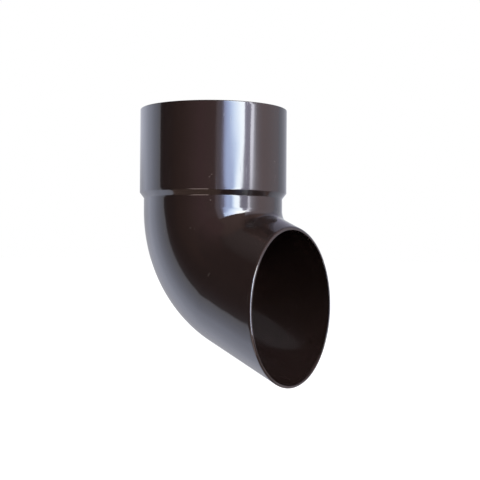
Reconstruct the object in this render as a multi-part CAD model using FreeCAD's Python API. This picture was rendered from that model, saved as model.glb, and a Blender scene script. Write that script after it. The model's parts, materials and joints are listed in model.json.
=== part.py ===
"""Outlet elbow for the foot of a round PVC downpipe.

It is one moulded piece. A socket pushes up over the end of the downpipe, which stops against a
flat ring inside. Below the socket a sloping shoulder leads to a short neck, a bend with a tight
throat and a spout that is cut off upright, in line with the downpipe.

The origin is the centre of the pipe stop. +Z runs up the socket and +X is the way the spout points.
Lengths are in millimetres and angles in degrees.
"""

import FreeCAD, Part
import math
import os

# The downpipe, which the elbow's own body matches in outside diameter
PIPE_DIAMETER = 90.0

# Body: the neck, the bend and the spout
BODY_WALL = 2.0
NECK_LENGTH = 7.3
THROAT_RADIUS = 5.6
BEND_ANGLE = 65.0
SPOUT_TOP_LENGTH = 16.0
SPOUT_OUTER_ROUND = 1.0
SPOUT_INNER_BEVEL = 0.5

# Socket, measured from the pipe stop up to the rim
SOCKET_DEPTH = 54.0
SOCKET_CLEARANCE = 0.4
SOCKET_WALL = 2.3
SHOULDER_HEIGHT = 3.6
SHOULDER_ROUND = 1.0
RIM_ROUND = 0.5
MOUTH_CHAMFER = 1.0

# Sizes that follow from those above
body_radius = PIPE_DIAMETER / 2
water_radius = body_radius - BODY_WALL
socket_bore_radius = body_radius + SOCKET_CLEARANCE
socket_radius = socket_bore_radius + SOCKET_WALL
bend_start = -(SHOULDER_HEIGHT + NECK_LENGTH)
bend_radius = body_radius + THROAT_RADIUS
turn = math.radians(BEND_ANGLE)
flow = FreeCAD.Vector(math.sin(turn), 0, -math.cos(turn))
bend_centre = FreeCAD.Vector(bend_radius, 0, bend_start)
spout_start = bend_centre + FreeCAD.Vector(-math.cos(turn), 0, -math.sin(turn)) * bend_radius
spout_reach = bend_radius - THROAT_RADIUS * math.cos(turn) + SPOUT_TOP_LENGTH * math.sin(turn)


def rounded_outline(corners):
    """Closed wire in the XZ plane through (x, z, round) corners, each turned by its own tangent arc."""
    points = [FreeCAD.Vector(x, 0, z) for x, z, _ in corners]
    ends = []
    arcs = []
    for i, (_, _, radius) in enumerate(corners):
        here = points[i]
        if radius == 0:
            ends.append((here, here))
            continue
        back = (points[i - 1] - here).normalize()
        ahead = (points[(i + 1) % len(points)] - here).normalize()
        half_corner = back.getAngle(ahead) / 2
        trim = radius / math.tan(half_corner)
        centre = here + (back + ahead).normalize() * (radius / math.sin(half_corner))
        middle = centre + (here - centre).normalize() * radius
        ends.append((here + back * trim, here + ahead * trim))
        arcs.append(Part.Arc(ends[i][0], middle, ends[i][1]).toShape())
    lines = [Part.makeLine(ends[i - 1][1], ends[i][0]) for i in range(len(ends))]
    return Part.Wire(Part.__sortEdges__(lines + arcs))


def socket_and_neck():
    """The straight top: socket, pipe stop, shoulder and neck, turned about the socket's axis."""
    outline = rounded_outline([
        (water_radius, bend_start, 0),
        (body_radius, bend_start, 0),
        (body_radius, -SHOULDER_HEIGHT, SHOULDER_ROUND),
        (socket_radius, 0, SHOULDER_ROUND),
        (socket_radius, SOCKET_DEPTH, RIM_ROUND),
        (socket_bore_radius + MOUTH_CHAMFER, SOCKET_DEPTH, 0),
        (socket_bore_radius, SOCKET_DEPTH - MOUTH_CHAMFER, 0),
        (socket_bore_radius, 0, 0),
        (water_radius, 0, 0),
    ])
    return Part.Face(outline).revolve(FreeCAD.Vector(0, 0, 0), FreeCAD.Vector(0, 0, 1), 360)


def pipe_section(centre, normal):
    """The body's ring-shaped cross-section."""
    outer = Part.Wire(Part.makeCircle(body_radius, centre, normal))
    inner = Part.Wire(Part.makeCircle(water_radius, centre, normal))
    return Part.makeFace([outer, inner], "Part::FaceMakerBullseye")


def bend():
    """The body's section swung about the bend's centre, from straight down towards the spout."""
    section = pipe_section(FreeCAD.Vector(0, 0, bend_start), FreeCAD.Vector(0, 0, -1))
    return section.revolve(bend_centre, FreeCAD.Vector(0, -1, 0), BEND_ANGLE)


def spout():
    """The straight run after the bend, cut off by an upright plane."""
    sole_start = bend_radius - (bend_radius + body_radius) * math.cos(turn)
    sole_length = (spout_reach - sole_start) / math.sin(turn)
    run = pipe_section(spout_start, flow).extrude(flow * (sole_length + BODY_WALL))
    box = run.BoundBox
    box.enlarge(BODY_WALL)
    waste = Part.makeBox(
        box.XLength, box.YLength, box.ZLength, FreeCAD.Vector(spout_reach, box.YMin, box.ZMin)
    )
    return run.cut(waste)


def spout_lips(elbow):
    """The oval edges in the plane of the spout's cut, the shortest first."""
    lips = [edge for edge in elbow.Edges if math.isclose(edge.BoundBox.XMin, spout_reach)]
    return sorted(lips, key=lambda edge: edge.Length)


def ease_spout_lips(elbow):
    """Takes the sharpness off the spout's edges: a bevel inside, a round outside."""
    elbow = elbow.makeChamfer(SPOUT_INNER_BEVEL, [spout_lips(elbow)[0]])
    return elbow.makeFillet(SPOUT_OUTER_ROUND, [spout_lips(elbow)[-1]])


def outlet_elbow():
    """The whole moulding as one solid."""
    elbow = socket_and_neck().fuse([bend(), spout()]).removeSplitter()
    return ease_spout_lips(elbow.Solids[0]).Solids[0]


os.makedirs("parts", exist_ok=True)
elbow = outlet_elbow()
elbow.exportStep("parts/outlet_elbow.step")
size = elbow.optimalBoundingBox()
print("outlet_elbow", elbow.ShapeType, "valid" if elbow.isValid() else "not valid")
print("size in mm", round(size.XLength, 2), round(size.YLength, 2), round(size.ZLength, 2))
print("volume in cubic mm", round(elbow.Volume, 1))
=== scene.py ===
"""Outlet elbow for the foot of a round plastic downpipe, dressed and lit as in its photograph.

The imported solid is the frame: metres, +Z up the socket, +X the way the spout points, and the origin at the
centre of the ring that the downpipe stops against.
"""

import json
import math

import bpy
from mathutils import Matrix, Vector


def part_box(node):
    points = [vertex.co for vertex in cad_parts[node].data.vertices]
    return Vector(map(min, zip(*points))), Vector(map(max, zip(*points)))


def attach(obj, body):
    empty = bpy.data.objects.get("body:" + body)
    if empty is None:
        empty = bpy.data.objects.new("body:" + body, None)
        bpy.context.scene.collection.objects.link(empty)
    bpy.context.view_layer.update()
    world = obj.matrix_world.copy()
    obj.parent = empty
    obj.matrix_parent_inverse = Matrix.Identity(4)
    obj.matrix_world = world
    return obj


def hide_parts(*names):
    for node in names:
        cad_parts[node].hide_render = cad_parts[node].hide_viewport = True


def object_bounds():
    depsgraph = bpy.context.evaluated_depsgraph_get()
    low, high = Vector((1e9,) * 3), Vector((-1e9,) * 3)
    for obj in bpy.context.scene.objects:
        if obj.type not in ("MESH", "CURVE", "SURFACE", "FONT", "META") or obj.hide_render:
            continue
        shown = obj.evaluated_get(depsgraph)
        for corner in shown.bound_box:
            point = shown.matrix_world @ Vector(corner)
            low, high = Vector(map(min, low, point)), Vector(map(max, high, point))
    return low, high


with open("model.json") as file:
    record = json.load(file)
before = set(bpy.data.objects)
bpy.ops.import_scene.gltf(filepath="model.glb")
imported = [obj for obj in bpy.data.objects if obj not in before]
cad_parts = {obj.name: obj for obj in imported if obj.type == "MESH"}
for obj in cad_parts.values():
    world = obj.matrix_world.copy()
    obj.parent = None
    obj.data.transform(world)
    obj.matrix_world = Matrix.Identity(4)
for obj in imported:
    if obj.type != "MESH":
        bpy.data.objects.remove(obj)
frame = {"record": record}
cad_low, cad_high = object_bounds()


# The elbow is one injection moulding in rigid PVC, dark brown all through and glossy from a polished mould.
# The socket slides up over the downpipe. Below it come a sloping shoulder, a short neck, a tight bend and a
# spout that ends on an upright plane. The two halves of the mould leave a hair-fine ridge where they met.
elbow_low, elbow_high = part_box("outlet_elbow")
pipe_socket = frame["record"]["mounts"][0]["dims"]
socket_bore = pipe_socket["r_mm"] / 1000
socket_radius = -elbow_low.x
rim_height = elbow_high.z
mouth_bevel = rim_height - pipe_socket["length_mm"] / 1000
body_radius = 0.045
water_radius = 0.043
shoulder_height = 0.0036
neck_length = 0.0073
throat_radius = 0.0056
bend_angle = math.radians(65)
spout_reach = elbow_high.x

bend_radius = body_radius + throat_radius
bend_start = -shoulder_height - neck_length
bend_end = bend_start - bend_radius * bend_angle
spout_top = (spout_reach - bend_radius + throat_radius * math.cos(bend_angle)) / math.sin(bend_angle)
spout_foot = bend_end - spout_top

shoulder_round = 0.001
rim_round = 0.0005
mouth_round = 0.0002
bore_round = 0.0004
stop_corner_round = 0.0003
stop_edge_round = 0.0004
lip_outer_round = 0.0012
lip_inner_round = 0.0003
lip_thinning = 0.0003

# The lip stands out a little on its near upper side, where the spout warped as it cooled
lip_warp = 0.0005
warp_side = math.radians(-70)
warp_breadth = 1.3
warp_growth = 1.5

ridge_height = 0.00006
ridge_half_width = 0.00025
longest_step = 0.0011
steps_around = 240
steps_in_a_round = 7
crowding_at_ridge = 0.42

# The wall's outline as it would be if the pipe were straight: radius, height and the round on the corner
wall_corners = [
    (body_radius, spout_foot, lip_outer_round),
    (body_radius, -shoulder_height, shoulder_round),
    (socket_radius, 0, shoulder_round),
    (socket_radius, rim_height, rim_round),
    (socket_bore + mouth_bevel, rim_height, mouth_round),
    (socket_bore, rim_height - mouth_bevel, bore_round),
    (socket_bore, 0, stop_corner_round),
    (water_radius, 0, stop_edge_round),
    (water_radius + lip_thinning, spout_foot, lip_inner_round),
]

outline = bpy.data.meshes.new("outlet_elbow_outline")
outline.from_pydata(
    [(radius, 0, height) for radius, height, _ in wall_corners],
    [(i, (i + 1) % len(wall_corners)) for i in range(len(wall_corners))],
    [],
)
rounds = outline.attributes.new("round", "FLOAT", "POINT")
rounds.data.foreach_set("value", [corner_round for _, _, corner_round in wall_corners])
elbow = bpy.data.objects.new("outlet_elbow_moulding", outline)
bpy.context.scene.collection.objects.link(elbow)

bent_pipe = bpy.data.node_groups.new("bent_pipe", "GeometryNodeTree")
bent_pipe.interface.new_socket("Outline", in_out="INPUT", socket_type="NodeSocketGeometry")
bent_pipe.interface.new_socket("Moulding", in_out="OUTPUT", socket_type="NodeSocketGeometry")
pipe_sizes = {
    "Body radius": body_radius,
    "Bend radius": bend_radius,
    "Bend angle": bend_angle,
    "Bend start": bend_start,
    "Spout top length": spout_top,
    "Spout reach": spout_reach,
    "Lip warp": lip_warp,
    "Ridge height": ridge_height,
    "Ridge half width": ridge_half_width,
    "Longest step": longest_step,
    "Crowding at ridge": crowding_at_ridge,
}
pipe_inputs = {
    name: bent_pipe.interface.new_socket(name, in_out="INPUT", socket_type="NodeSocketFloat").identifier
    for name in pipe_sizes
}
given = bent_pipe.nodes.new("NodeGroupInput").outputs


def pipe_node(kind, inputs=None, **settings):
    """Adds a node to the bent pipe and returns its outputs. An input is a number or another output."""
    node = bent_pipe.nodes.new(kind)
    for name, setting in settings.items():
        setattr(node, name, setting)
    for name, value in (inputs or {}).items():
        if isinstance(value, bpy.types.NodeSocket):
            bent_pipe.links.new(value, node.inputs[name])
        else:
            node.inputs[name].default_value = value
    return node.outputs


def calc(operation, *terms):
    """One step of arithmetic in the bent pipe."""
    return pipe_node("ShaderNodeMath", dict(enumerate(terms)), operation=operation)[0]


def between(value, low, high):
    """The value, kept from going below low or above high."""
    return calc("MINIMUM", calc("MAXIMUM", value, low), high)


def stored(name, kind="FLOAT"):
    """A value that was stored on the points earlier."""
    return pipe_node("GeometryNodeInputNamedAttribute", {"Name": name}, data_type=kind)["Attribute"]


# The outline gets its rounds, then points no further apart than the longest step
corners = pipe_node("GeometryNodeMeshToCurve", {"Mesh": given["Outline"]})["Curve"]
rounded = pipe_node(
    "GeometryNodeFilletCurve",
    {"Curve": corners, "Count": steps_in_a_round, "Radius": stored("round")},
    mode="POLY",
)["Curve"]
here = pipe_node("GeometryNodeInputPosition")["Position"]
next_point = pipe_node("GeometryNodeOffsetPointInCurve", {"Offset": 1})["Point Index"]
there = pipe_node(
    "GeometryNodeFieldAtIndex", {"Index": next_point, "Value": here}, data_type="FLOAT_VECTOR"
)["Value"]
gap = pipe_node("ShaderNodeVectorMath", {0: here, 1: there}, operation="DISTANCE")["Value"]
cuts = calc("FLOOR", calc("DIVIDE", gap, given["Longest step"]))
stepped = pipe_node("GeometryNodeSubdivideCurve", {"Curve": rounded, "Cuts": cuts})["Curve"]
wall = pipe_node(
    "GeometryNodeStoreNamedAttribute",
    {"Geometry": stepped, "Name": "wall", "Value": here},
    data_type="FLOAT_VECTOR",
)["Geometry"]

# The outline is carried round a ring, whose points crowd together at the mould's parting plane
ring = pipe_node(
    "GeometryNodeCurvePrimitiveCircle", {"Resolution": steps_around, "Radius": given["Body radius"]}
)["Curve"]
even_turn = calc("MULTIPLY", pipe_node("GeometryNodeSplineParameter")["Factor"], math.tau)
crowding = calc("MULTIPLY", given["Crowding at ridge"], calc("SINE", calc("MULTIPLY", even_turn, 2)))
marked_ring = pipe_node(
    "GeometryNodeStoreNamedAttribute",
    {"Geometry": ring, "Name": "around", "Value": calc("SUBTRACT", even_turn, crowding)},
    data_type="FLOAT",
)["Geometry"]
tube = pipe_node("GeometryNodeCurveToMesh", {"Curve": marked_ring, "Profile Curve": wall})["Mesh"]

# How far each point hangs below the bend's start, and how much of the spout's run lies behind it
wall_point = pipe_node("ShaderNodeSeparateXYZ", {"Vector": stored("wall", "FLOAT_VECTOR")})
around = stored("around")
hang = calc("SUBTRACT", given["Bend start"], wall_point["Z"])
run_done = calc("SUBTRACT", hang, calc("MULTIPLY", given["Bend radius"], given["Bend angle"]))
spout_run = calc("MAXIMUM", run_done, 0)

# Each point's radius, with the ridge on the outside and the warp that grows towards the lip
from_plane = calc("ABSOLUTE", calc("MULTIPLY", wall_point["X"], calc("SINE", around)))
ridge_share = calc("SUBTRACT", 1, calc("DIVIDE", from_plane, given["Ridge half width"]))
outer_wall = calc("SUBTRACT", given["Body radius"], given["Ridge height"])
outside = calc("GREATER_THAN", wall_point["X"], outer_wall)
ridge_here = calc("MULTIPLY", given["Ridge height"], calc("MAXIMUM", ridge_share, 0))
ridge = calc("MULTIPLY", ridge_here, outside)
warp_around = calc("MULTIPLY", calc("COSINE", calc("SUBTRACT", around, warp_side)), warp_breadth)
warp_along = calc("POWER", calc("DIVIDE", spout_run, given["Spout top length"]), warp_growth)
warp_share = calc("MULTIPLY", between(warp_around, 0, 1), warp_along)
warp = calc("MULTIPLY", given["Lip warp"], warp_share)
radius = calc("ADD", wall_point["X"], calc("ADD", ridge, warp))
towards_spout = calc("MULTIPLY", radius, calc("COSINE", around))
sideways = calc("MULTIPLY", radius, calc("SINE", around))

# The bend turns what hangs below its start about its centre, up to the bend's angle
above_bend = calc("MAXIMUM", calc("MULTIPLY", hang, -1), 0)
turned = between(calc("DIVIDE", hang, given["Bend radius"]), 0, given["Bend angle"])
from_centre = calc("SUBTRACT", given["Bend radius"], towards_spout)
bent_x = calc("SUBTRACT", given["Bend radius"], calc("MULTIPLY", from_centre, calc("COSINE", turned)))
drop = calc("SUBTRACT", calc("MULTIPLY", from_centre, calc("SINE", turned)), above_bend)
bent_z = calc("SUBTRACT", given["Bend start"], drop)

# The spout runs on straight, and each line of it stretches to end on the upright plane
run_left = calc("SUBTRACT", given["Spout top length"], spout_run)
to_reach = calc("SUBTRACT", given["Spout reach"], bent_x)
full_run = calc("DIVIDE", to_reach, calc("SINE", given["Bend angle"]))
stretch = calc("SUBTRACT", calc("DIVIDE", full_run, given["Spout top length"]), 1)
stretch_here = calc("MULTIPLY", stretch, calc("DIVIDE", run_left, given["Spout top length"]))
to_plane = calc("MULTIPLY", run_left, calc("ADD", 1, stretch_here))
run = calc("MULTIPLY", calc("SUBTRACT", full_run, to_plane), calc("GREATER_THAN", run_done, 0))
final_x = calc("ADD", bent_x, calc("MULTIPLY", run, calc("SINE", given["Bend angle"])))
final_z = calc("SUBTRACT", bent_z, calc("MULTIPLY", run, calc("COSINE", given["Bend angle"])))
final_place = pipe_node("ShaderNodeCombineXYZ", {"X": final_x, "Y": sideways, "Z": final_z})["Vector"]
bent = pipe_node("GeometryNodeSetPosition", {"Geometry": tube, "Position": final_place})["Geometry"]
smooth = pipe_node("GeometryNodeSetShadeSmooth", {"Geometry": bent, "Shade Smooth": True})["Geometry"]

# Brown PVC: nearly black in the shade, with a mirror-like skin that is a little uneven and worn, hairline
# scuffs from handling and specks of pale dust. The hollow of the throat has a painted shade: its shine
# is lowered and its roughness raised, so its reflections are darker than the rest.
pvc_light = (0.0158, 0.0093, 0.0081, 1)
pvc_dark = (0.0142, 0.0083, 0.0071, 1)
pvc_bend_of_light = 1.5
clouds_per_metre = 45

dust_colour = (0.13, 0.11, 0.1, 1)
dust_cells_per_metre = 150
dust_specks = [
    ((0.0477, 0.0006, 0.0186), 0.00055),
    ((0.0262, -0.0366, -0.0066), 0.0005),
    ((0.0182, -0.0419, -0.0244), 0.0005),
    ((0.0156, -0.0429, -0.0236), 0.0004),
    ((0.0313, -0.0446, -0.0522), 0.00055),
    ((0.0318, -0.0446, -0.0512), 0.0004),
    ((0.0283, -0.0384, 0.0088), 0.0005),
    ((0.0272, -0.0392, 0.0072), 0.0004),
    ((-0.0034, -0.0446, -0.0258), 0.0004),
    ((0.0378, 0.0409, -0.0461), 0.0004),
]
speck_core = 0.3
speck_edge = 0.9

gloss_smooth = 0.07
gloss_worn = 0.13
worn_patches_per_metre = 28
full_shine = 0.5

hairs_per_metre = 160
hair_stretch = (1, 1, 0.06)
scuffed_patches_per_metre = 70
scuff_roughness = 0.3
scuff_depth = 0.00001

# Painted shade: less shine and more roughness around the throat's hollow darken its reflections there
painted_shade_middle = (0.0466, -0.02, -0.0212)
painted_shade_within = 0.003
painted_shade_until = 0.0095
painted_shade_shine = 0.15
painted_shade_roughness = 0.25

waves_per_metre = 60
wave_height = 0.00004
ripples_per_metre = 230
ripple_height = 0.000008

pvc = bpy.data.materials.new("brown_pvc")
pvc.use_nodes = True
pvc_shader = pvc.node_tree.nodes["Principled BSDF"]
pvc_shader.inputs["IOR"].default_value = pvc_bend_of_light


def pvc_node(kind, inputs=None, **settings):
    """Adds a node to the PVC and returns its outputs. An input is a value or another output."""
    node = pvc.node_tree.nodes.new(kind)
    for name, setting in settings.items():
        setattr(node, name, setting)
    for name, value in (inputs or {}).items():
        if isinstance(value, bpy.types.NodeSocket):
            pvc.node_tree.links.new(value, node.inputs[name])
        else:
            node.inputs[name].default_value = value
    return node.outputs


on_moulding = pvc_node("ShaderNodeTexCoord")["Object"]


def pvc_calc(operation, *terms):
    """One step of arithmetic in the PVC."""
    return pvc_node("ShaderNodeMath", dict(enumerate(terms)), operation=operation)[0]


def pvc_ramp(value, low, high, bottom=0.0, top=1.0):
    """Maps a value from between low and high to between bottom and top, and no further."""
    limits = {"Value": value, "From Min": low, "From Max": high, "To Min": bottom, "To Max": top}
    return pvc_node("ShaderNodeMapRange", limits)["Result"]


def pvc_noise(per_metre, detail, stretch=(1, 1, 1)):
    """Cloudy noise over the moulding, drawn out along an axis whose stretch is below 1."""
    spread = pvc_node("ShaderNodeMapping", {"Vector": on_moulding, "Scale": stretch})["Vector"]
    return pvc_node("ShaderNodeTexNoise", {"Vector": spread, "Scale": per_metre, "Detail": detail})["Fac"]


def pvc_blend(share, one, other):
    """A colour that goes from one to the other with the share. Sockets 6 and 7 are the node's colours."""
    return pvc_node("ShaderNodeMix", {"Factor": share, 6: one, 7: other}, data_type="RGBA")[2]


def pvc_away(place):
    """Distance from a place on the moulding."""
    return pvc_node("ShaderNodeVectorMath", {0: on_moulding, 1: place}, operation="DISTANCE")["Value"]


def pvc_relief(height, depth, beneath=None, **settings):
    """The way the surface faces once a height from 0 to 1 stands out by the depth."""
    inputs = {"Height": height, "Strength": 1, "Distance": depth}
    if beneath is not None:
        inputs["Normal"] = beneath
    return pvc_node("ShaderNodeBump", inputs, **settings)["Normal"]


# Colour: faint clouds in the brown, fine dust all over and the larger specks
brown = pvc_blend(pvc_ramp(pvc_noise(clouds_per_metre, 3), 0.35, 0.65), pvc_dark, pvc_light)
cells = {"Vector": on_moulding, "Scale": dust_cells_per_metre}
cell = pvc_node("ShaderNodeTexVoronoi", cells, feature="F1")
cell_lot = pvc_node("ShaderNodeSeparateColor", {"Color": cell["Color"]})["Red"]
grain = pvc_ramp(cell["Distance"], 0.02, 0.045, 1, 0)
dust = pvc_calc("MULTIPLY", pvc_ramp(cell_lot, 0.955, 0.96), grain)
for place, half_width in dust_specks:
    landed = pvc_ramp(pvc_away(place), half_width * speck_core, half_width * speck_edge, 1, 0)
    dust = pvc_calc("MAXIMUM", dust, landed)
pvc.node_tree.links.new(pvc_blend(dust, brown, dust_colour), pvc_shader.inputs["Base Color"])

# Gloss: worn in patches, with hairline scuffs, and a painted shade in the hollow of the throat: less shine
# and more roughness there darken its reflections
worn = pvc_ramp(pvc_noise(worn_patches_per_metre, 4), 0.45, 0.75, gloss_smooth, gloss_worn)
from_hair = pvc_calc("ABSOLUTE", pvc_calc("SUBTRACT", pvc_noise(hairs_per_metre, 0, hair_stretch), 0.5))
scuffed = pvc_ramp(pvc_noise(scuffed_patches_per_metre, 2), 0.6, 0.66)
scuff = pvc_calc("MULTIPLY", pvc_ramp(from_hair, 0.002, 0.006, 1, 0), scuffed)
from_painted_shade = pvc_away(painted_shade_middle)
shine = pvc_ramp(from_painted_shade, painted_shade_within, painted_shade_until, painted_shade_shine, full_shine)
pvc.node_tree.links.new(shine, pvc_shader.inputs["Specular IOR Level"])
dull = pvc_calc("MAXIMUM", worn, pvc_ramp(from_painted_shade, painted_shade_within, painted_shade_until, painted_shade_roughness, 0))
rough = pvc_node("ShaderNodeMix", {"Factor": scuff, 2: dull, 3: scuff_roughness}, data_type="FLOAT")[0]
pvc.node_tree.links.new(rough, pvc_shader.inputs["Roughness"])

# Surface: slow waves from the cooling wall, finer ripples, and the scuffs cut in
wavy = pvc_relief(pvc_noise(waves_per_metre, 1), wave_height)
rippled = pvc_relief(pvc_noise(ripples_per_metre, 2), ripple_height, wavy)
scratched = pvc_relief(scuff, scuff_depth, rippled, invert=True)
pvc.node_tree.links.new(scratched, pvc_shader.inputs["Normal"])

whole = pipe_node("GeometryNodeRealizeInstances", {"Geometry": smooth})["Geometry"]
moulding = pipe_node("GeometryNodeSetMaterial", {"Geometry": whole, "Material": pvc})["Geometry"]
bent_pipe.links.new(moulding, bent_pipe.nodes.new("NodeGroupOutput").inputs["Moulding"])

bending = elbow.modifiers.new("bent_pipe", "NODES")
bending.node_group = bent_pipe
for name, size in pipe_sizes.items():
    bending[pipe_inputs[name]] = size
depsgraph = bpy.context.evaluated_depsgraph_get()
elbow.data = bpy.data.meshes.new_from_object(elbow.evaluated_get(depsgraph))
elbow.modifiers.remove(bending)

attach(elbow, "root")
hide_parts("outlet_elbow")


# The stage is a pale floor a little below the spout, lit by a wide soft sun. The floor is clear when seen
# from beneath, so that it never hides the object.
floor_drop = 0.1
floor_half = 20
floor_height = elbow_low.z - floor_drop
floor_white = (0.9, 0.9, 0.9, 1)
floor_glow = 0.75

floor_mesh = bpy.data.meshes.new("floor")
floor_mesh.from_pydata(
    [(x * floor_half, y * floor_half, floor_height) for x, y in ((-1, -1), (1, -1), (1, 1), (-1, 1))],
    [],
    [(0, 1, 2, 3)],
)
floor = bpy.data.objects.new("floor", floor_mesh)
bpy.context.scene.collection.objects.link(floor)
pale = bpy.data.materials.new("pale_floor")
pale.use_nodes = True
pale_nodes = pale.node_tree.nodes
pale_links = pale.node_tree.links
pale_shader = pale_nodes["Principled BSDF"]
pale_shader.inputs["Base Color"].default_value = floor_white
pale_shader.inputs["Roughness"].default_value = 1
pale_shader.inputs["Specular IOR Level"].default_value = 0
pale_shader.inputs["Emission Color"].default_value = (1, 1, 1, 1)
pale_glow = pale_nodes.new("ShaderNodeMath")
pale_glow.operation = "MULTIPLY"
pale_glow.inputs[1].default_value = floor_glow
pale_links.new(pale_nodes.new("ShaderNodeLightPath").outputs["Is Camera Ray"], pale_glow.inputs[0])
pale_links.new(pale_glow.outputs[0], pale_shader.inputs["Emission Strength"])
clear = pale_nodes.new("ShaderNodeBsdfTransparent")
clear_beneath = pale_nodes.new("ShaderNodeMixShader")
pale_links.new(pale_nodes.new("ShaderNodeNewGeometry").outputs["Backfacing"], clear_beneath.inputs["Fac"])
pale_links.new(pale_shader.outputs["BSDF"], clear_beneath.inputs[1])
pale_links.new(clear.outputs["BSDF"], clear_beneath.inputs[2])
pale_links.new(clear_beneath.outputs[0], pale_nodes["Material Output"].inputs["Surface"])
floor_mesh.materials.append(pale)
floor.visible_glossy = False

sun = bpy.data.objects.new("soft_sun", bpy.data.lights.new("soft_sun", "SUN"))
sun.data.energy = 0.6
sun.data.angle = math.radians(60)
sun.rotation_euler = (math.radians(25), 0, math.radians(50))
sun.visible_glossy = False
bpy.context.scene.collection.objects.link(sun)


# The surround is plain white to the camera and an even fill to the colour under the gloss. The gloss itself
# mirrors a dim warm room, which is darkest to the left of the camera.
fill_level = 0.25
room_level = 0.38
room_darkest = 0.2
room_tint = (1, 0.68, 0.63, 1)
brighter_side = (0.44, 0.05, 0.17)

world = bpy.data.worlds.new("white_surround")
bpy.context.scene.world = world
world.use_nodes = True
world_nodes = world.node_tree.nodes
world_links = world.node_tree.links
world_nodes.remove(world_nodes["Background"])
seen_by = world_nodes.new("ShaderNodeLightPath").outputs
backgrounds = {}
for name, colour, strength in (
    ("fill", (1, 1, 1, 1), fill_level),
    ("room", room_tint, room_level),
    ("white", (1, 1, 1, 1), 1),
):
    backgrounds[name] = world_nodes.new("ShaderNodeBackground")
    backgrounds[name].inputs["Color"].default_value = colour
    backgrounds[name].inputs["Strength"].default_value = strength

slope = world_nodes.new("ShaderNodeVectorMath")
slope.operation = "DOT_PRODUCT"
slope.inputs[1].default_value = brighter_side
world_links.new(world_nodes.new("ShaderNodeTexCoord").outputs["Generated"], slope.inputs[0])
sloping_level = world_nodes.new("ShaderNodeMath")
sloping_level.operation = "ADD"
sloping_level.inputs[1].default_value = room_level
world_links.new(slope.outputs["Value"], sloping_level.inputs[0])
level_here = world_nodes.new("ShaderNodeMath")
level_here.operation = "MAXIMUM"
level_here.inputs[1].default_value = room_darkest
world_links.new(sloping_level.outputs[0], level_here.inputs[0])
world_links.new(level_here.outputs[0], backgrounds["room"].inputs["Strength"])

surround = backgrounds["fill"].outputs[0]
for name, ray in (("room", "Is Glossy Ray"), ("white", "Is Camera Ray")):
    choice = world_nodes.new("ShaderNodeMixShader")
    world_links.new(seen_by[ray], choice.inputs["Fac"])
    world_links.new(surround, choice.inputs[1])
    world_links.new(backgrounds[name].outputs[0], choice.inputs[2])
    surround = choice.outputs[0]
world_links.new(surround, world_nodes["World Output"].inputs["Surface"])


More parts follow.
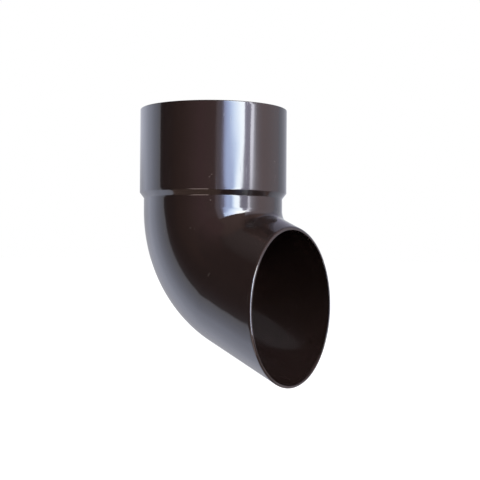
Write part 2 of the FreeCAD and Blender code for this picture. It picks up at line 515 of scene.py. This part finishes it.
# What the gloss mirrors: cards round the object, seen by its shine alone. Each stands a little behind the
# one before it, and one stands close to the spout's mouth. A card has the colours of its upright stops,
# then rows: an elevation, a share of the glow and the stops' azimuths from -Y towards +X. A row without
# azimuths keeps those of the row above.
middle = (cad_low + cad_high) / 2
card_distance = 15
card_step = 0.1
near_cards = {"mouth_shade": 0.11}
strip_width = 3
cards = {
    "paper": (
        [(1.44, 1.46, 1.62), (1.64, 1.72, 2.08), (2.0, 2.12, 2.6), (1.85, 1.94, 2.33), (1.12, 1.15, 1.32),
         (0.7, 0.71, 0.77), (0.82, 0.86, 1.02)],
        [
            (20, 1, (-52.5, -60, -75, -94, -117, -140, -200)),
            (7, 1),
            (4, 1, (-52, -60, -75, -92, -106, -124, -200)),
            (1, 1, (-47.5, -60, -75, -91, -105, -121, -200)),
            (-6, 1, (-48.5, -60, -75, -92, -109, -125, -200)),
            (-16, 1, (-50, -60, -75, -92, -110, -127, -200)),
            (-24, 1, (-51, -60, -75, -92, -114, -135, -200)),
            (-28, 1, (-55, -62, -75, -92, -117, -145, -200)),
            (-31, 1, (-61, -66, -75, -92, -121, -150, -200)),
            (-36, 0.9, (-62, -67, -75, -92, -124, -150, -200)),
            (-42, 1, (-60, -66, -75, -92, -124, -150, -200)),
            (-50, 1.3, (-57, -65, -75, -92, -124, -150, -200)),
            (-52, 0.9),
        ],
    ),
    "paper_below": (
        [(1.3, 1.3, 1.45), (1.8, 1.9, 2.3), (1.7, 1.75, 2.1), (1.0, 1.03, 1.18), (0.65, 0.66, 0.72),
         (0.75, 0.78, 0.92)],
        [(-52, 0.9, (-58, -75, -92, -124, -150, -230)), (-62, 0.5), (-75, 0.25), (-86, 0.2)],
    ),
    "paper_skirt": (
        [(0.19, 0.14, 0.15), (0.42, 0.38, 0.42)],
        [(20, 0.5, (-42, -54)), (7, 0.6), (4, 0.7), (1, 1, (-38, -50)), (-16, 1, (-40, -52)),
         (-28, 1, (-45, -58))],
    ),
    "room_front": (
        [(0.15, 0.105, 0.1), (0.17, 0.115, 0.115), (0.23, 0.16, 0.155), (0.28, 0.18, 0.18),
         (0.37, 0.23, 0.24), (0.43, 0.26, 0.28), (0.56, 0.32, 0.34), (0.6, 0.36, 0.38)],
        [(50, 1, (-46, -22, -14, -6, 4, 10, 20, 40)), (20, 1)],
    ),
    "ceiling_front": (
        [(0.4, 0.32, 0.32), (0.38, 0.31, 0.31), (0.42, 0.33, 0.33), (0.47, 0.34, 0.34)],
        [(86, 1.1, (-70, -20, -5, 10)), (74, 1.05), (64, 0.95), (56, 0.8), (50, 0.45)],
    ),
    "back_wall": (
        [(0.63, 0.62, 0.8), (0.63, 0.62, 0.78)],
        [(64, 1, (-110, -200)), (20, 1)],
    ),
    "ceiling": (
        [(0.25, 0.21, 0.23), (0.25, 0.21, 0.23)],
        [(86, 1, (-100, -240)), (64, 1)],
    ),
    "table_edge": (
        [(6.2, 4.8, 4.5), (6.2, 4.8, 4.5)],
        [(-14, 0.15, (-5, 29)), (-30, 0.8), (-40, 1), (-58, 1)],
    ),
    "below": (
        [(0.6, 0.4, 0.33), (0.6, 0.4, 0.33)],
        [(-52, 1, (-62, 130)), (-86, 1)],
    ),
    "table_left": (
        [(0.6, 0.45, 0.4), (1.0, 0.7, 0.57), (1.0, 0.7, 0.57), (0.6, 0.4, 0.33)],
        [(-50, 1, (-58, -48, -38, -32)), (-63, 1)],
    ),
    "reveal": (
        [(0.9, 0.72, 0.75), (1.45, 1.2, 1.4), (1.5, 1.4, 1.75), (3.2, 3.3, 4.8)],
        [
            (29, 1, (41, 44.2, 49, 52.5)),
            (8.6, 1, (41, 44.2, 49.5, 53.3)),
            (6, 1, (40, 43, 48, 52.5)),
            (4.3, 1),
            (3, 1, (40, 43, 48, 55.5)),
            (-58, 1),
        ],
    ),
    "window": (
        [(4.6, 5.1, 8.0), (7.7, 9.5, 14.4), (7.7, 9.5, 14.4), (10.5, 13.0, 18.2), (14.6, 17.3, 21.8),
         (21.2, 23.1, 24.8), (21.6, 23.0, 24.6)],
        [
            (18.5, 1, (51.5, 56, 56.5, 59.5, 64, 76, 87.2)),
            (8, 1, (53.3, 59.5, 60.3, 64, 69.3, 80, 86)),
            (7, 1, (52.8, 59, 60, 64.5, 70.5, 83, 85.8)),
            (5.9, 1, (52.5, 58, 61, 71, 77.3, 79.8, 84.4)),
            (4.5, 1, (52.5, 56.5, 69, 70, 71.8, 75, 83.4)),
            (3.9, 1, (54, 60, 67.5, 69, 71, 74.3, 82)),
            (3, 1, (55.5, 61, 67, 68.2, 70, 73, 80.8)),
            (-58, 1),
        ],
    ),
    "window_top": (
        [(9, 11.2, 15.5), (15.6, 18.2, 23.6), (25, 26, 26), (25, 26, 26)],
        [(28.4, 1, (52, 66, 79, 90)), (18.5, 1, (52, 66, 79, 97))],
    ),
    "window_edge": (
        [(14.2, 14.2, 16), (14.2, 14.2, 16), (5.4, 5.4, 6.2), (3.9, 3.8, 4.4)],
        [
            (27, 1, (94.5, 98, 100.5, 104)),
            (10, 1),
            (8.6, 1, (97.2, 101.6, 103.6, 106)),
            (7.3, 1, (96, 100.7, 103.3, 106)),
            (5.9, 0.95, (95.8, 99.8, 102.8, 106)),
            (4.5, 1.25, (95.5, 98.6, 100.8, 105)),
            (3.9, 0.55, (95.5, 98.4, 101, 105)),
            (3.3, 0.85, (96, 97.8, 100.5, 104)),
            (2.4, 0.85),
            (-15, 0.5),
            (-58, 0.4),
        ],
    ),
    "window_frame": (
        [(10, 10.5, 12.5), (5, 5, 6.4), (4.2, 4.2, 5.4), (3.9, 3.9, 5.0)],
        [
            (18, 1, (86, 88.5, 90.5, 98)),
            (8, 1, (85.8, 88.2, 90.2, 98)),
            (5.9, 1, (84.2, 86.8, 89, 98)),
            (4.5, 0.88, (83.2, 85, 88, 98)),
            (3, 0.8, (80.6, 83, 85, 98)),
            (-58, 0.8),
        ],
    ),
    "mouth_shade": (
        [(0.5, 0.38, 0.38), (0.55, 0.42, 0.42), (1.2, 1.0, 1.0), (1.3, 1.1, 1.15)],
        [(-32, 1, (45, 106, 111, 126)), (-55, 1)],
    ),
    "side_wall": (
        [(3.6, 3.5, 4.0), (2.6, 2.4, 2.7), (1.95, 1.7, 1.9), (1.7, 1.4, 1.5), (1.5, 1.25, 1.35),
         (1.2, 1.08, 1.2), (0.85, 0.8, 0.92)],
        [
            (46, 0.3, (93, 96, 100, 120, 130, 146, 160)),
            (37, 1),
            (31, 1),
            (22, 1, (100, 108, 113, 120, 130, 146, 160)),
            (-30, 1, (99, 108, 113, 120, 130, 146, 160)),
            (-38, 1, (98, 108, 113, 120, 130, 146, 147)),
            (-44, 1, (97, 108, 113, 120, 130, 133, 134)),
            (-50, 1, (97, 108, 113, 116, 118, 119, 120)),
            (-57, 1, (97, 103, 106, 108, 110, 111, 112)),
        ],
    ),
    "room_low": (
        [(0.22, 0.17, 0.18), (0.17, 0.125, 0.125), (0.23, 0.15, 0.14), (0.3, 0.19, 0.17), (0.32, 0.2, 0.19),
         (0.4, 0.25, 0.24), (0.48, 0.3, 0.3), (0.54, 0.33, 0.34), (0.62, 0.36, 0.4), (0.63, 0.4, 0.41),
         (0.68, 0.45, 0.48)],
        [(20, 1, (-46, -32, -25, -18, -10, -3, 4, 11, 18, 31, 41)), (-30, 1)],
    ),
}

glow = bpy.data.materials.new("card_glow")
glow.use_nodes = True
glow_nodes = glow.node_tree.nodes
glow_nodes.remove(glow_nodes["Principled BSDF"])
glow_colour = glow_nodes.new("ShaderNodeVertexColor")
glow_colour.layer_name = "glow"
glow_shader = glow_nodes.new("ShaderNodeEmission")
glow.node_tree.links.new(glow_colour.outputs["Color"], glow_shader.inputs["Color"])
glow.node_tree.links.new(glow_shader.outputs[0], glow_nodes["Material Output"].inputs["Surface"])


def around_object(azimuth, elevation, distance):
    """A point at an azimuth from -Y towards +X and an elevation, in degrees, from the object's middle."""
    turn = math.radians(azimuth)
    rise = distance * math.tan(math.radians(elevation))
    return middle + Vector((math.sin(turn) * distance, -math.cos(turn) * distance, rise))


def hang_card(name, points, faces, colours):
    """A card that glows in the colours of its points and is seen by the gloss alone."""
    mesh = bpy.data.meshes.new(name)
    mesh.from_pydata(points, [], faces)
    glow_layer = mesh.color_attributes.new("glow", "FLOAT_COLOR", "POINT")
    glow_layer.data.foreach_set("color", colours)
    mesh.materials.append(glow)
    card = bpy.data.objects.new(name, mesh)
    bpy.context.scene.collection.objects.link(card)
    card.visible_camera = False
    card.visible_diffuse = False
    card.visible_shadow = False


for behind, (name, (glows, rows)) in enumerate(cards.items()):
    distance = near_cards.get(name, card_distance + card_step * behind)
    stops = rows[0][2]
    strips = [max(1, round(abs(stops[i + 1] - stops[i]) / strip_width)) for i in range(len(stops) - 1)]
    columns = 1 + sum(strips)
    points = []
    colours = []
    for elevation, share, *moved_stops in rows:
        if moved_stops:
            stops = moved_stops[0]
        row = [(stops[0], Vector(glows[0]))]
        for i, strip_count in enumerate(strips):
            for strip in range(1, strip_count + 1):
                part = strip / strip_count
                azimuth = stops[i] + (stops[i + 1] - stops[i]) * part
                row.append((azimuth, Vector(glows[i]).lerp(Vector(glows[i + 1]), part)))
        for azimuth, glow_here in row:
            points.append(around_object(azimuth, elevation, distance))
            colours.extend((*(glow_here * share), 1))
    faces = [
        (i, i + 1, i + 1 + columns, i + columns)
        for i in range(len(points) - columns)
        if (i + 1) % columns
    ]
    hang_card(name, points, faces, colours)

# A dim disc over the socket, which the inside of the spout mirrors through the bend
disc_glow = (0.23, 0.235, 0.25, 1)
disc_rise = 0.002
disc_height = rim_height + disc_rise
disc_steps = 48
disc_turns = [math.tau * i / disc_steps for i in range(disc_steps)]
disc = [(socket_bore * math.cos(turn), socket_bore * math.sin(turn), disc_height) for turn in disc_turns]
hang_card("over_socket", disc, [range(disc_steps)], disc_glow * disc_steps)


# Lamps for the colour under the gloss, which doesn't mirror them: two wide soft ones, on the window's side
# and on the paper's, and a narrow one into the spout's mouth
lamp_distance = 1.5


def soft_lamp(name, azimuth, elevation, size, power):
    """A square white lamp that faces the object."""
    lamp = bpy.data.objects.new(name, bpy.data.lights.new(name, "AREA"))
    lamp.data.size = size
    lamp.data.energy = power
    lamp.location = around_object(azimuth, elevation, lamp_distance)
    lamp.rotation_euler = (middle - lamp.location).to_track_quat("-Z", "Y").to_euler()
    lamp.visible_glossy = False
    bpy.context.scene.collection.objects.link(lamp)


soft_lamp("window_lamp", azimuth=69, elevation=12, size=1.0, power=13)
soft_lamp("paper_lamp", azimuth=-90, elevation=5, size=1.2, power=4)

mouth_floor = Vector((0.05, 0, -0.1))
mouth_lamp = bpy.data.objects.new("mouth_lamp", bpy.data.lights.new("mouth_lamp", "SPOT"))
mouth_lamp.data.energy = 11
mouth_lamp.data.color = (0.7, 0.77, 1)
mouth_lamp.data.spot_size = math.radians(9)
mouth_lamp.data.spot_blend = 0.6
mouth_lamp.data.shadow_soft_size = 0.05
mouth_lamp.location = (0.51, -0.12, 0.3)
mouth_lamp.rotation_euler = (mouth_floor - mouth_lamp.location).to_track_quat("-Z", "Y").to_euler()
mouth_lamp.visible_glossy = False
bpy.context.scene.collection.objects.link(mouth_lamp)


# The camera stands at the photograph's place, level with the bend.
camera = bpy.data.objects.new("camera", bpy.data.cameras.new("camera"))
camera.location = (0.397073, -0.515846, -0.038907)
camera.rotation_euler = (math.radians(90.763), math.radians(-0.411), math.radians(36.023))
camera.data.lens = 74.838
camera.data.sensor_width = 36
bpy.context.scene.collection.objects.link(camera)
bpy.context.scene.camera = camera
bpy.context.scene.view_settings.view_transform = "Standard"
